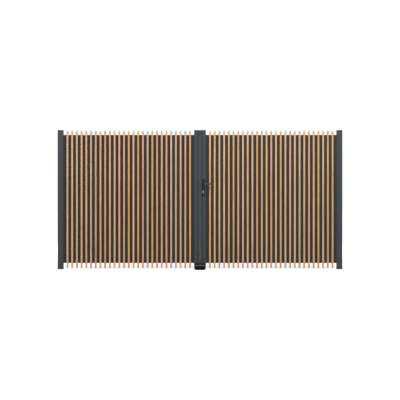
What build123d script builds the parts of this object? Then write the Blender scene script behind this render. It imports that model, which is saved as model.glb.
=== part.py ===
from build123d import *
import os

# Double-leaf aluminium driveway gate with wood-look upright battens.
# Frame: the origin is the centre of the left post's foot, on the ground.
# +X runs along the gate to the right post, +Y to the back, +Z up. Millimetres.

# Posts
clear_opening = 3500.0
post_width = 70.0
post_wall = 3.0
post_corner_radius = 2.5
post_height = 1780.0
post_cap_thickness = 3.0
post_cap_chamfer = 1.0
post_foot_thickness = 6.0

# Leaf frames
hinge_gap = 6.0
meeting_gap = 8.0
leaf_ground_gap = 17.0
panel_bottom = 79.0
panel_below_post_top = 61.0
frame_rear_setback = 1.0
frame_depth = 40.0
frame_wall = 2.5
hinge_stile_width = 50.0
rail_height = 50.0
middle_rail_height = 900.0
sheet_thickness = 3.0
lock_stile_width = 71.0
lock_stile_front_setback = 3.0
lock_stile_wall = 3.0
lock_stile_corner_radius = 2.0
stile_groove_width = 7.0
stile_groove_depth = 9.0
plug_thickness = 3.0

# Battens
batten_count = 27
batten_width = 22.0
batten_depth = 24.0
batten_wall = 1.5
batten_corner_radius = 1.5
batten_below_post_top = 13.0
lock_side_strip = 41.4
hinge_side_strip = 37.8

# Closing angles on the posts, centre strips and seals on the lock stiles
angle_width = 14.0
angle_leg = 17.0
angle_thickness = 3.0
angle_clearance = 5.0
centre_strip_gap = 6.0
centre_strip_width = 21.0
centre_strip_thickness = 4.0
centre_strip_chamfer = 1.0
seal_gap = 0.5
seal_depth = 10.0
seal_nose_radius = 2.0

# Hinges
pivot_beside_post = 3.0
pivot_behind_post = 17.0
pin_radius = 6.0
pin_running_clearance = 0.06
pin_tip = 5.0
pin_chamfer = 1.5
barrel_radius = 10.0
barrel_length = 50.0
barrel_float = 0.3
boss_height = 22.0
hinge_above_panel_bottom = 151.0
hinge_below_panel_top = 239.0
pintle_plate_width = 50.0
pintle_plate_height = 100.0
pintle_plate_thickness = 6.0
pintle_plate_inset = 10.0
pintle_arm_width = 22.0
strap_width = 44.0
strap_thickness = 5.0
strap_inset = 3.0
strap_neck_width = 16.0
hinge_corner_radius = 6.0

# Lock, lever and drop bolt
lock_backset = 38.0
lever_height = 1088.0
cylinder_below_lever = 92.0
plate_width = 34.0
plate_thickness = 8.0
plate_above_lever = 70.0
plate_below_lever = 156.0
plate_edge_radius = 2.0
spindle_size = 8.0
spindle_in_lever = 18.0
spindle_clearance = 0.1
spindle_hole_radius = 8.0
lever_radius = 9.5
lever_reach = 128.0
lever_stand_off = 44.0
lever_bend_radius = 18.0
lever_spigot = 6.0
lever_running_clearance = 0.1
cylinder_radius = 8.5
cylinder_slot_width = 10.0
cylinder_height = 33.0
cylinder_proud = 3.0
cylinder_clearance = 0.2
keyway_width = 2.6
keyway_height = 9.0
keyway_depth = 22.0
forend_width = 22.0
forend_length = 230.0
latch_width = 12.0
latch_length = 24.0
latch_mouth_depth = 1.2
latch_above_cylinder = 62.0
bolt_rod_radius = 8.0
bolt_rod_inset = 36.0
bolt_rod_behind_stile = 14.0
bolt_rod_bottom = 32.0
bolt_rod_length = 780.0
bolt_tip_chamfer = 2.0
bolt_handle_radius = 6.0
bolt_handle_length = 60.0
bolt_running_clearance = 0.3
guide_width = 34.0
guide_depth = 26.0
guide_height = 24.0
guide_first_height = 90.0
guide_spacing = 290.0
guide_count = 3
guide_corner_radius = 6.0

# Ground stop
stop_width = 147.0
stop_reach = 148.0
stop_base_behind_posts = 40.0
stop_base_width = 118.0
stop_base_thickness = 6.0
stop_base_corner_radius = 16.0
stop_corner_radius = 24.0
stop_block_top = 59.5
stop_edge_radius = 1.5
stop_bevel_height = 9.0
stop_bevel_depth = 4.5
stop_mouth_width = 108.0
stop_mouth_bottom = 25.0
stop_mouth_top = 47.0
stop_mouth_depth = 62.0
stop_mouth_corner_radius = 7.0
stop_rib_thickness = 5.0
stop_rib_count = 2
stop_rib_setback = 8.0
stop_wall_top = 80.0
stop_wall_thickness = 14.0
stop_wall_slope_run = 16.0
stop_pad_thickness = 6.0
stop_pad_width = 118.0
stop_pad_bottom = 22.0
stop_pad_top = 76.0
stop_pad_edge_radius = 2.0
stop_pad_clearance = 6.0
stop_bolt_radius = 5.5
stop_bolt_head_radius = 11.0
stop_bolt_seat = 6.0
stop_bolt_spacing_x = 70.0
stop_bolt_front_inset = 84.0
stop_bolt_rear_inset = 60.0
stop_socket_clearance = 1.5

# Places that follow from the sizes above
half_post = post_width / 2
post_face = half_post
post_front = -half_post
post_rear = half_post
gate_centre = (clear_opening + post_width) / 2
leaf_hinge_edge = post_face + hinge_gap
lock_edge = gate_centre - meeting_gap / 2
stile_edge = lock_edge - lock_stile_width
frame_rear = post_rear - frame_rear_setback
frame_front = frame_rear - frame_depth
sheet_front = frame_front - sheet_thickness
stile_front = post_front + lock_stile_front_setback
panel_top = post_height - panel_below_post_top
batten_length = post_height - batten_below_post_top - leaf_ground_gap
lower_hinge_height = panel_bottom + hinge_above_panel_bottom
upper_hinge_height = panel_top - hinge_below_panel_top
batten_front = sheet_front - batten_depth
pivot_x = post_face + pivot_beside_post
pivot_y = post_rear + pivot_behind_post
strip_front = stile_front - centre_strip_thickness
lock_x = gate_centre + meeting_gap / 2 + lock_backset
strip_outer_edge = gate_centre - centre_strip_gap / 2 - centre_strip_width
plate_front = stile_front - plate_thickness
plate_rear = frame_rear + plate_thickness
cylinder_z = lever_height - cylinder_below_lever
mirror_plane = Plane.YZ.offset(gate_centre)
cut_margin = 1.0


def block(x0, x1, y0, y1, z0, z1):
    """A block between two opposite corners."""
    middle = Pos((x0 + x1) / 2, (y0 + y1) / 2, (z0 + z1) / 2)
    return middle * Box(x1 - x0, y1 - y0, z1 - z0)


def upright_tube(x0, x1, y0, y1, z0, z1, wall, radius):
    """An extruded rectangular tube that stands up, with rounded outer corners."""
    profile = RectangleRounded(x1 - x0, y1 - y0, radius)
    profile -= Rectangle(x1 - x0 - 2 * wall, y1 - y0 - 2 * wall)
    return Pos((x0 + x1) / 2, (y0 + y1) / 2, z0) * extrude(profile, z1 - z0)


def upright_plate(x0, x1, y0, y1, z0, z1, radius):
    """A level plate with the same rounded outline as such a tube."""
    profile = RectangleRounded(x1 - x0, y1 - y0, radius)
    return Pos((x0 + x1) / 2, (y0 + y1) / 2, z0) * extrude(profile, z1 - z0)


def to_right(shape):
    """The same piece on the right half of the gate."""
    return mirror(shape, about=mirror_plane)


# Posts: square tubes closed by a cap on top and a flush plate at the foot
def post_tube():
    return upright_tube(-half_post, half_post, post_front, post_rear, post_foot_thickness,
                        post_height - post_cap_thickness, post_wall, post_corner_radius)


def post_cap():
    cap = upright_plate(-half_post, half_post, post_front, post_rear,
                        post_height - post_cap_thickness, post_height, post_corner_radius)
    return chamfer(cap.faces().sort_by(Axis.Z)[-1].edges(), post_cap_chamfer)


def post_foot():
    return upright_plate(-half_post, half_post, post_front, post_rear, 0, post_foot_thickness,
                         post_corner_radius)


def closing_angle():
    """The angle on the post's inner face that covers the hinge gap from the front."""
    angle_rear = sheet_front - angle_clearance
    leg = block(post_face, post_face + angle_thickness, angle_rear - angle_leg, angle_rear,
                panel_bottom, panel_top)
    cover = block(post_face, post_face + angle_width, angle_rear - angle_thickness, angle_rear,
                  panel_bottom, panel_top)
    return leg + cover


# Hinges: a pintle on each post's back, and a barrel on the leaf that turns on its pin
def pintle(height):
    """A plate on the post with an arm, a boss and an upright pin, in one piece."""
    plate_right = post_face - pintle_plate_inset
    plate_middle_z = height + boss_height / 2
    plate = Pos(plate_right - pintle_plate_width / 2, post_rear, plate_middle_z) * extrude(
        Plane.XZ * RectangleRounded(pintle_plate_width, pintle_plate_height, hinge_corner_radius),
        -pintle_plate_thickness)
    seat = Pos(plate_right - pintle_arm_width / 2, post_rear + pintle_plate_thickness / 2)
    ring = Pos(pivot_x, pivot_y) * Circle(barrel_radius)
    foot = seat * Rectangle(pintle_arm_width, pintle_plate_thickness)
    arm = Pos(0, 0, height) * extrude(make_hull(ring.edges() + foot.edges()), boss_height)
    pin_length = boss_height + barrel_float + barrel_length + pin_tip
    pin = Pos(pivot_x, pivot_y, height + pin_length / 2) * Cylinder(pin_radius, pin_length)
    pin = chamfer(pin.edges().sort_by(Axis.Z)[-1], pin_chamfer)
    return plate + arm + pin


def hinge_strap(height):
    """The leaf's barrel with its neck and the strap on the hinge stile's back."""
    barrel_bottom = height + boss_height + barrel_float
    strap_left = leaf_hinge_edge + strap_inset
    strap_middle = strap_left + strap_width / 2
    barrel_middle = barrel_bottom + barrel_length / 2
    strap = Pos(strap_middle, frame_rear, barrel_middle) * extrude(
        Plane.XZ * RectangleRounded(strap_width, barrel_length, hinge_corner_radius),
        -strap_thickness)
    ring = Pos(pivot_x, pivot_y) * Circle(barrel_radius)
    foot = Pos(strap_left + hinge_corner_radius + strap_neck_width / 2,
               frame_rear + strap_thickness / 2) * Rectangle(strap_neck_width, strap_thickness)
    neck = Pos(0, 0, barrel_bottom) * extrude(make_hull(ring.edges() + foot.edges()), barrel_length)
    bore = Pos(pivot_x, pivot_y, barrel_middle) * Cylinder(
        pin_radius + pin_running_clearance, barrel_length + 2 * cut_margin)
    return strap + neck - bore


# Leaf frame: a hinge stile, three rails and a deep lock stile, faced with one sheet
def hinge_stile():
    return upright_tube(leaf_hinge_edge, leaf_hinge_edge + hinge_stile_width, frame_front,
                        frame_rear, panel_bottom + plug_thickness, panel_top - plug_thickness,
                        frame_wall, frame_wall / 2)


def lock_stile():
    """A deep tube with a groove down its front, beside the centre strip."""
    z0 = leaf_ground_gap + plug_thickness
    z1 = post_height - plug_thickness
    tube = upright_tube(stile_edge, lock_edge, stile_front, frame_rear, z0, z1,
                        lock_stile_wall, lock_stile_corner_radius)
    groove_x0 = strip_outer_edge - stile_groove_width
    channel_wall = block(groove_x0 - lock_stile_wall, strip_outer_edge + lock_stile_wall,
                         stile_front + lock_stile_wall / 2,
                         stile_front + stile_groove_depth + lock_stile_wall, z0, z1)
    groove = block(groove_x0, strip_outer_edge, stile_front - cut_margin,
                   stile_front + stile_groove_depth, z0, z1)
    return tube + channel_wall - groove


def stile_plugs():
    """The plates that close the ends of both stiles."""
    plugs = []
    for z0 in (leaf_ground_gap, post_height - plug_thickness):
        plugs.append(upright_plate(stile_edge, lock_edge, stile_front, frame_rear, z0,
                                   z0 + plug_thickness, lock_stile_corner_radius))
    for z0 in (panel_bottom, panel_top - plug_thickness):
        plugs.append(upright_plate(leaf_hinge_edge, leaf_hinge_edge + hinge_stile_width,
                                   frame_front, frame_rear, z0, z0 + plug_thickness,
                                   frame_wall / 2))
    return plugs


def rail(z0):
    """A level tube between the two stiles, with its lower edge at z0."""
    x0 = leaf_hinge_edge + hinge_stile_width
    outside = block(x0, stile_edge, frame_front, frame_rear, z0, z0 + rail_height)
    inside = block(x0 - cut_margin, stile_edge + cut_margin, frame_front + frame_wall,
                   frame_rear - frame_wall, z0 + frame_wall, z0 + rail_height - frame_wall)
    return outside - inside


def sheet():
    return block(leaf_hinge_edge, stile_edge, sheet_front, frame_front, panel_bottom, panel_top)


# Battens: rectangular tubes closed at the top and open at the bottom to drain
def battens():
    first = stile_edge - lock_side_strip - batten_width / 2
    last = leaf_hinge_edge + hinge_side_strip + batten_width / 2
    pitch = (first - last) / (batten_count - 1)
    outline = RectangleRounded(batten_width, batten_depth, batten_corner_radius)
    hollow = Rectangle(batten_width - 2 * batten_wall, batten_depth - 2 * batten_wall)
    one = extrude(outline, batten_length)
    one -= Pos(0, 0, -cut_margin) * extrude(hollow, batten_length - batten_wall + cut_margin)
    y = (sheet_front + batten_front) / 2
    return [Pos(last + i * pitch, y, leaf_ground_gap) * one for i in range(batten_count)]


# Meeting edge: half a cover strip in front and a rubber seal at the back of each lock stile
def centre_strip():
    strip = block(strip_outer_edge, strip_outer_edge + centre_strip_width, strip_front,
                  stile_front, panel_bottom, panel_top)
    front_edges = strip.faces().sort_by(Axis.Y)[0].edges().filter_by(Axis.Z)
    return chamfer(front_edges, centre_strip_chamfer)


def seal():
    """A rubber lip with a rounded nose towards the other leaf, from plug to plug."""
    lip = block(lock_edge, gate_centre - seal_gap / 2, frame_rear - seal_depth, frame_rear,
                leaf_ground_gap, post_height)
    nose = lip.faces().sort_by(Axis.X)[-1].edges().filter_by(Axis.Z)
    return fillet(nose, seal_nose_radius)


# Lock on the right leaf
def forend_z0():
    return cylinder_z + latch_above_cylinder - forend_length / 2


def forend_place():
    """The opening for the forend, and the like strike, in the lock stiles' edge walls."""
    y = (stile_front + frame_rear) / 2
    return block(lock_edge - lock_stile_wall, lock_edge, y - forend_width / 2,
                 y + forend_width / 2, forend_z0(), forend_z0() + forend_length)


def latch_mouth(depth):
    y = (stile_front + frame_rear) / 2
    z = cylinder_z + latch_above_cylinder
    return block(lock_edge - depth, lock_edge + cut_margin, y - latch_width / 2,
                 y + latch_width / 2, z - latch_length / 2, z + latch_length / 2)


def strike():
    """The left leaf's strike: a plate in the wall with an open mouth for the latch."""
    return forend_place() - latch_mouth(lock_stile_wall + cut_margin)


def forend():
    """The right leaf's forend, with the latch drawn back into its mouth."""
    return to_right(forend_place() - latch_mouth(latch_mouth_depth))


def cylinder_outline(clearance):
    """A profile cylinder's drop-shaped section, about the round barrel's centre."""
    barrel = Circle(cylinder_radius + clearance)
    drop = cylinder_height - cylinder_radius
    slot = Pos(0, -drop / 2) * Rectangle(cylinder_slot_width + 2 * clearance,
                                         drop + 2 * clearance)
    return barrel + slot


def through_y(profile, x, z, y0, y1):
    """An outline drawn in X and Z and run from y0 to y1."""
    return Pos(x, y0, z) * extrude(Plane.XZ * profile, -(y1 - y0))


def cylinder_cut():
    return through_y(cylinder_outline(cylinder_clearance), lock_x, cylinder_z,
                     plate_front - cut_margin, plate_rear + cut_margin)


def lock_cylinder():
    y0 = plate_front - cylinder_proud
    y1 = plate_rear + cylinder_proud
    body = through_y(cylinder_outline(0), lock_x, cylinder_z, y0, y1)
    for key_y0, key_y1 in ((y0 - cut_margin, y0 + keyway_depth), (y1 - keyway_depth, y1 + cut_margin)):
        body -= block(lock_x - keyway_width / 2, lock_x + keyway_width / 2, key_y0, key_y1,
                      cylinder_z - keyway_height / 2, cylinder_z + keyway_height / 2)
    return body


def lock_plate(y0, y1, shown_face):
    """A long plate with round ends, a collar hole for the lever and a cylinder hole."""
    length = plate_above_lever + plate_below_lever
    middle_z = lever_height + (plate_above_lever - plate_below_lever) / 2
    outline = Rot(0, 0, 90) * SlotOverall(length, plate_width)
    plate = through_y(outline, lock_x, middle_z, y0, y1)
    plate = fillet(plate.faces().sort_by(Axis.Y)[shown_face].edges(), plate_edge_radius)
    collar = Circle(lever_radius + lever_running_clearance)
    plate -= through_y(collar, lock_x, lever_height, y0 - cut_margin, y1 + cut_margin)
    return plate - cylinder_cut()


def right_lock_stile():
    stile = to_right(lock_stile() - forend_place())
    shaft = Circle(spindle_hole_radius)
    stile -= through_y(shaft, lock_x, lever_height, plate_front, plate_rear)
    return stile - cylinder_cut()


# Levers and spindle: these turn together
def spindle():
    y0 = plate_front + lever_spigot - spindle_in_lever
    y1 = plate_rear - lever_spigot + spindle_in_lever
    return through_y(Rectangle(spindle_size, spindle_size), lock_x, lever_height, y0, y1)


def lever(seat_y, outward):
    """A round-bar lever, from its spigot in the plate out, round the bend and along X."""
    start_y = seat_y - outward * lever_spigot
    grip_y = seat_y + outward * lever_stand_off
    tip_x = lock_x + lever_reach - lever_radius
    path = FilletPolyline((lock_x, start_y, lever_height), (lock_x, grip_y, lever_height),
                          (tip_x, grip_y, lever_height), radius=lever_bend_radius)
    section = Plane(origin=(lock_x, start_y, lever_height), z_dir=(0, outward, 0))
    bar = sweep(section * Circle(lever_radius), path=path)
    bar += Pos(tip_x, grip_y, lever_height) * Sphere(lever_radius)
    hole = spindle_size + 2 * spindle_clearance
    hole_y0 = min(start_y - outward * cut_margin, start_y + outward * spindle_in_lever)
    hole_y1 = max(start_y - outward * cut_margin, start_y + outward * spindle_in_lever)
    return bar - through_y(Rectangle(hole, hole), lock_x, lever_height, hole_y0, hole_y1)


# Drop bolt on the left leaf's back, lifted
def bolt_rod_x():
    return lock_edge - bolt_rod_inset


def bolt_rod_y():
    return frame_rear + bolt_rod_behind_stile


def drop_bolt_rod():
    rod = Pos(bolt_rod_x(), bolt_rod_y(), bolt_rod_bottom + bolt_rod_length / 2) * Cylinder(
        bolt_rod_radius, bolt_rod_length)
    rod = chamfer(rod.edges().filter_by(GeomType.CIRCLE).sort_by(Axis.Z)[0], bolt_tip_chamfer)
    handle_z = bolt_rod_bottom + bolt_rod_length - bolt_rod_radius
    handle_place = Pos(bolt_rod_x() - bolt_handle_length / 2, bolt_rod_y(), handle_z)
    handle = handle_place * Rot(0, 90, 0) * Cylinder(bolt_handle_radius, bolt_handle_length)
    return rod + handle


def drop_bolt_guides():
    """Blocks on the stile's back that the rod slides in."""
    guides = []
    for i in range(guide_count):
        z0 = guide_first_height + i * guide_spacing
        guide = block(bolt_rod_x() - guide_width / 2, bolt_rod_x() + guide_width / 2, frame_rear,
                      frame_rear + guide_depth, z0, z0 + guide_height)
        back_edges = guide.faces().sort_by(Axis.Y)[-1].edges().filter_by(Axis.Z)
        guide = fillet(back_edges, guide_corner_radius)
        guides.append(guide - Pos(bolt_rod_x(), bolt_rod_y(), z0 + guide_height / 2) * Cylinder(
            bolt_rod_radius + bolt_running_clearance, guide_height + 2 * cut_margin))
    return guides


# Ground stop in front of the meeting stiles
stop_front = post_front - stop_reach
stop_rear = post_rear + stop_base_behind_posts
stop_pad_rear = strip_front - stop_pad_clearance
stop_wall_rear = stop_pad_rear - stop_pad_thickness


def stop_bolt_places():
    places = []
    for side in (-1, 1):
        for y in (stop_front + stop_bolt_front_inset, stop_rear - stop_bolt_rear_inset):
            places.append((gate_centre + side * stop_bolt_spacing_x / 2, y))
    return places


def stop_base():
    """The thin plate on the ground, bolted down, with the drop bolt's socket."""
    outline = RectangleRounded(stop_base_width, stop_rear - stop_front, stop_base_corner_radius)
    base = Pos(gate_centre, (stop_front + stop_rear) / 2) * extrude(outline, stop_base_thickness)
    for x, y in stop_bolt_places():
        base -= Pos(x, y, stop_base_thickness / 2) * Cylinder(
            stop_bolt_radius, stop_base_thickness + 2 * cut_margin)
    socket = bolt_rod_radius + stop_socket_clearance
    return base - Pos(bolt_rod_x(), bolt_rod_y(), stop_base_thickness / 2) * Cylinder(
        socket, stop_base_thickness + 2 * cut_margin)


def stop_face(width, z0, z1, radius):
    """A rounded outline of the stop as seen from the front."""
    return Pos(0, (z0 + z1) / 2) * RectangleRounded(width, z1 - z0, radius)


def stop_mouth():
    """The hollow that opens in the block's front, parted by thin upright ribs."""
    outline = stop_face(stop_mouth_width, stop_mouth_bottom, stop_mouth_top,
                        stop_mouth_corner_radius)
    mouth = through_y(outline, gate_centre, 0, stop_front - cut_margin,
                      stop_front + stop_mouth_depth)
    bay = stop_mouth_width / (stop_rib_count + 1)
    for i in range(1, stop_rib_count + 1):
        x = gate_centre - stop_mouth_width / 2 + i * bay
        mouth -= block(x - stop_rib_thickness / 2, x + stop_rib_thickness / 2,
                       stop_front + stop_rib_setback, stop_front + stop_mouth_depth,
                       stop_mouth_bottom, stop_mouth_top)
    return mouth


def stop_body():
    """The moulded block, low in front, with a wall at its back that takes the pad."""
    wall_front = stop_wall_rear - stop_wall_thickness
    low_face = stop_face(stop_width, stop_base_thickness, stop_block_top, stop_corner_radius)
    high_face = stop_face(stop_width, stop_base_thickness, stop_wall_top, stop_corner_radius)
    low_block = through_y(low_face, gate_centre, 0, stop_front, stop_wall_rear)
    bevel = Polyline((stop_front, stop_block_top - stop_bevel_height),
                     (stop_front + stop_bevel_depth, stop_block_top),
                     (stop_front, stop_block_top), close=True)
    bevel_cut = extrude(Plane.YZ * make_face(bevel), stop_width)
    low_block -= Pos(gate_centre - stop_width / 2, 0, 0) * bevel_cut
    front_edges = low_block.faces().sort_by(Axis.Y)[0].edges()
    low_block = fillet(front_edges, stop_edge_radius)
    high_block = through_y(high_face, gate_centre, 0, wall_front - stop_wall_slope_run,
                           stop_wall_rear)
    slope = Polyline((wall_front - stop_wall_slope_run, stop_base_thickness),
                     (wall_front - stop_wall_slope_run, stop_block_top),
                     (wall_front, stop_wall_top), (stop_wall_rear, stop_wall_top),
                     (stop_wall_rear, stop_base_thickness), close=True)
    side_view = extrude(Plane.YZ * make_face(slope), stop_width)
    body = low_block + (high_block & Pos(gate_centre - stop_width / 2, 0, 0) * side_view)
    body -= stop_mouth()
    for x, y in stop_bolt_places():
        if y < stop_wall_rear:
            body -= Pos(x, y, 0) * extrude(Circle(stop_bolt_radius), stop_wall_top)
            seat_z = stop_base_thickness + stop_bolt_seat
            body -= Pos(x, y, seat_z) * extrude(Circle(stop_bolt_head_radius), stop_wall_top)
    return body


def stop_pad():
    pad = block(gate_centre - stop_pad_width / 2, gate_centre + stop_pad_width / 2,
                stop_wall_rear, stop_pad_rear, stop_pad_bottom, stop_pad_top)
    return fillet(pad.faces().sort_by(Axis.Y)[-1].edges(), stop_pad_edge_radius)


def all_nodes():
    """Every piece under its node's name."""
    nodes = {}
    hinge_heights = (lower_hinge_height, upper_hinge_height)
    both_sides = {
        "post": post_tube(),
        "post_cap": post_cap(),
        "post_foot": post_foot(),
        "closing_angle": closing_angle(),
        "pintles": [pintle(height) for height in hinge_heights],
        "hinge_straps": [hinge_strap(height) for height in hinge_heights],
        "hinge_stile": hinge_stile(),
        "stile_plugs": stile_plugs(),
        "top_rail": rail(panel_top - rail_height),
        "middle_rail": rail(middle_rail_height - rail_height / 2),
        "bottom_rail": rail(panel_bottom),
        "sheet": sheet(),
        "battens": battens(),
        "centre_strip": centre_strip(),
        "seal": seal(),
    }
    for name, piece in both_sides.items():
        left = piece if isinstance(piece, list) else [piece]
        nodes["left_" + name] = left
        nodes["right_" + name] = [to_right(solid) for solid in left]
    nodes["left_lock_stile"] = [lock_stile() - forend_place()]
    nodes["left_strike"] = [strike()]
    nodes["drop_bolt_rod"] = [drop_bolt_rod()]
    nodes["drop_bolt_guides"] = drop_bolt_guides()
    nodes["right_lock_stile"] = [right_lock_stile()]
    nodes["lock_forend"] = [forend()]
    nodes["lock_cylinder"] = [lock_cylinder()]
    nodes["front_plate"] = [lock_plate(plate_front, stile_front, 0)]
    nodes["back_plate"] = [lock_plate(frame_rear, plate_rear, -1)]
    nodes["front_lever"] = [lever(plate_front, -1)]
    nodes["back_lever"] = [lever(plate_rear, 1)]
    nodes["lever_spindle"] = [spindle()]
    nodes["stop_base"] = [stop_base()]
    nodes["stop_body"] = [stop_body()]
    nodes["stop_pad"] = [stop_pad()]
    return nodes


os.makedirs("parts", exist_ok=True)
for node, pieces in all_nodes().items():
    solids = [solid for piece in pieces for solid in piece.solids()]
    shape = solids[0] if len(solids) == 1 else Compound(children=solids)
    export_step(shape, f"parts/{node}.step")
    print(node, len(solids), "solids")
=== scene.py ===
import math

import bpy
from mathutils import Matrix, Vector


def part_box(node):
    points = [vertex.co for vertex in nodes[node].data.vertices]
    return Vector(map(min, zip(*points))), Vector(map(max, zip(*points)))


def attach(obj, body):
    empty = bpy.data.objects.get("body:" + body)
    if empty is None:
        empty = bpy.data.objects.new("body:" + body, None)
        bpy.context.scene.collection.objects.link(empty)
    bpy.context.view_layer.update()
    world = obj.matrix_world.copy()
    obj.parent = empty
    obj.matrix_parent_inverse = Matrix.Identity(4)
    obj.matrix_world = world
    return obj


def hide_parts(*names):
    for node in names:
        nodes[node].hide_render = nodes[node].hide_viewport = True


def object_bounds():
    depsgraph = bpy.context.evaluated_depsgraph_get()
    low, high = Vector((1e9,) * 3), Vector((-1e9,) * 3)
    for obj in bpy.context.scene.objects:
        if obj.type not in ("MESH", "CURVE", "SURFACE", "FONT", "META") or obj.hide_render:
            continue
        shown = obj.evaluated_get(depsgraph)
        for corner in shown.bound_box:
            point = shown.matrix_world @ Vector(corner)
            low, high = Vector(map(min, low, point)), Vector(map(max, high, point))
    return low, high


# The gate's fixed frame, and its box before anything is added
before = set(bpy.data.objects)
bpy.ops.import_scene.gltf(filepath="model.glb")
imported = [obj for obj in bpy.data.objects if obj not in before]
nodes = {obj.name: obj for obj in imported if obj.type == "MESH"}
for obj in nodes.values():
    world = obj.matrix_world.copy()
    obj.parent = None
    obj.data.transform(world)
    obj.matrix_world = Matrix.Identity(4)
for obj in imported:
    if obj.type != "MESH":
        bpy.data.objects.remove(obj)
cad_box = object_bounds()
SIDES = ("left", "right")
BODY = {"left": "left_leaf", "right": "right_leaf"}

# Posts
# Two square aluminium tubes with a cap on top and a flush plate at the foot.
# They are powder coated matt anthracite with a fine texture, as is all of the frame.
ANTHRACITE = (0.043, 0.050, 0.056, 1.0)
COAT_ROUGHNESS = 0.64
COAT_GRAIN_PER_METRE = 1500.0
COAT_GRAIN_STRENGTH = 0.35
COAT_GRAIN_DEPTH = 0.0003
COAT_CLOUD_PER_METRE = 2.2
COAT_CLOUD_DETAIL = 4.0
COAT_CLOUD_LOW = 0.25
COAT_CLOUD_HIGH = 0.75
COAT_TONE_SPREAD = 0.07
COAT_SHEEN_SPREAD = 0.05
COAT_GLOSS = 0.35
NOISE_LOW = 0.3
NOISE_HIGH = 0.7


def add_node(tree, kind, inputs=None, **settings):
    """One node in a shader or geometry tree, with its settings and its inputs by name."""
    made = tree.nodes.new(kind)
    for name, value in settings.items():
        setattr(made, name, value)
    for name, value in (inputs or {}).items():
        made.inputs[name].default_value = value
    return made


def new_material(name):
    """An empty node material: its tree, its shader and its Object coordinates."""
    material = bpy.data.materials.new(name)
    material.use_nodes = True
    tree = material.node_tree
    shader = tree.nodes["Principled BSDF"]
    place = add_node(tree, "ShaderNodeTexCoord").outputs["Object"]
    return material, tree, shader, place


def speckle(tree, place, per_metre, detail=2.0, stretch=(1, 1, 1)):
    """A noise pattern at a real size, in metres, on the piece's own coordinates."""
    mapping = add_node(tree, "ShaderNodeMapping", {"Scale": stretch})
    noise = add_node(tree, "ShaderNodeTexNoise", {"Scale": per_metre, "Detail": detail})
    tree.links.new(place, mapping.inputs["Vector"])
    tree.links.new(mapping.outputs["Vector"], noise.inputs["Vector"])
    return noise.outputs["Fac"]


def graded(tree, fac, stops):
    """A colour ramp over a value, from (position, colour) stops."""
    ramp = add_node(tree, "ShaderNodeValToRGB")
    elements = ramp.color_ramp.elements
    while len(elements) < len(stops):
        elements.new(0.5)
    for element, (position, colour) in zip(elements, stops):
        element.position = position
        element.color = colour
    tree.links.new(fac, ramp.inputs["Fac"])
    return ramp.outputs["Color"]


def scaled(colour, share):
    """A colour made darker or lighter by a share."""
    return tuple(channel * share for channel in colour[:3]) + (1.0,)


def add_bump(tree, shader, height, strength, distance):
    """Lets a pattern stand out of the surface by a distance in metres."""
    bump = add_node(tree, "ShaderNodeBump", {"Strength": strength, "Distance": distance})
    tree.links.new(height, bump.inputs["Height"])
    tree.links.new(bump.outputs["Normal"], shader.inputs["Normal"])


def between(tree, fac, low, high):
    """A value from low to high that follows a noise pattern's usual span."""
    spread = add_node(tree, "ShaderNodeMapRange", {"From Min": NOISE_LOW, "From Max": NOISE_HIGH,
                                                   "To Min": low, "To Max": high})
    tree.links.new(fac, spread.inputs["Value"])
    return spread.outputs["Result"]


def powder_coat(name, colour, roughness, grain_strength, gloss=COAT_GLOSS):
    """A powder coat's fine grain and faint cloud of tone, which moulded pieces have too."""
    material, tree, shader, place = new_material(name)
    shader.inputs["Specular IOR Level"].default_value = gloss
    cloud = speckle(tree, place, COAT_CLOUD_PER_METRE, COAT_CLOUD_DETAIL)
    tone = graded(tree, cloud, [(COAT_CLOUD_LOW, scaled(colour, 1 - COAT_TONE_SPREAD)),
                                (COAT_CLOUD_HIGH, scaled(colour, 1 + COAT_TONE_SPREAD))])
    tree.links.new(tone, shader.inputs["Base Color"])
    grain = speckle(tree, place, COAT_GRAIN_PER_METRE)
    sheen = between(tree, grain, roughness - COAT_SHEEN_SPREAD, roughness + COAT_SHEEN_SPREAD)
    tree.links.new(sheen, shader.inputs["Roughness"])
    add_bump(tree, shader, grain, grain_strength, COAT_GRAIN_DEPTH)
    return material


def dress(node, material):
    """Gives a solid its finish in every material slot."""
    mesh = nodes[node].data
    mesh.materials.clear()
    mesh.materials.append(material)


anthracite = powder_coat("anthracite_powder_coat", ANTHRACITE, COAT_ROUGHNESS,
                         COAT_GRAIN_STRENGTH)
for side in SIDES:
    for piece in ("post", "post_cap", "post_foot"):
        dress(f"{side}_{piece}", anthracite)

# Closing angles
# A small angle on each post's inner face, in front of the leaf's edge.
# It closes the hinge gap to view and is coated with the post.
for side in SIDES:
    dress(f"{side}_closing_angle", anthracite)

# Hinges
# Steel pintles on the posts' backs and strapped barrels on the leaves, coated a little glossier.
# Button-head screws with a hexagon socket hold them, four in a plate and two in a strap.
HINGE_COAT = (0.030, 0.034, 0.038, 1.0)
PINTLE_PLATE_WIDTH = 0.050
PINTLE_PLATE_HEIGHT = 0.100
PINTLE_PLATE_THICKNESS = 0.006
STRAP_THICKNESS = 0.005
STRAP_HEIGHT = 0.050
STRAP_SCREW_SHARES = (0.24, 0.76)
SCREW = {"Head Radius": 0.0055, "Head Height": 0.0032, "Socket Radius": 0.0020}
SCREW_EDGE_INSET = 0.012
SCREW_SIDES = 20
SCREW_CROWN_SHARE = 0.62
SOCKET_LIFT_SHARE = 0.55
HEXAGON = 6
TO_BACK = (-math.pi / 2, 0, 0)

hinge_coat = powder_coat("hinge_coat", HINGE_COAT, roughness=0.42, grain_strength=0.15)


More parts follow.
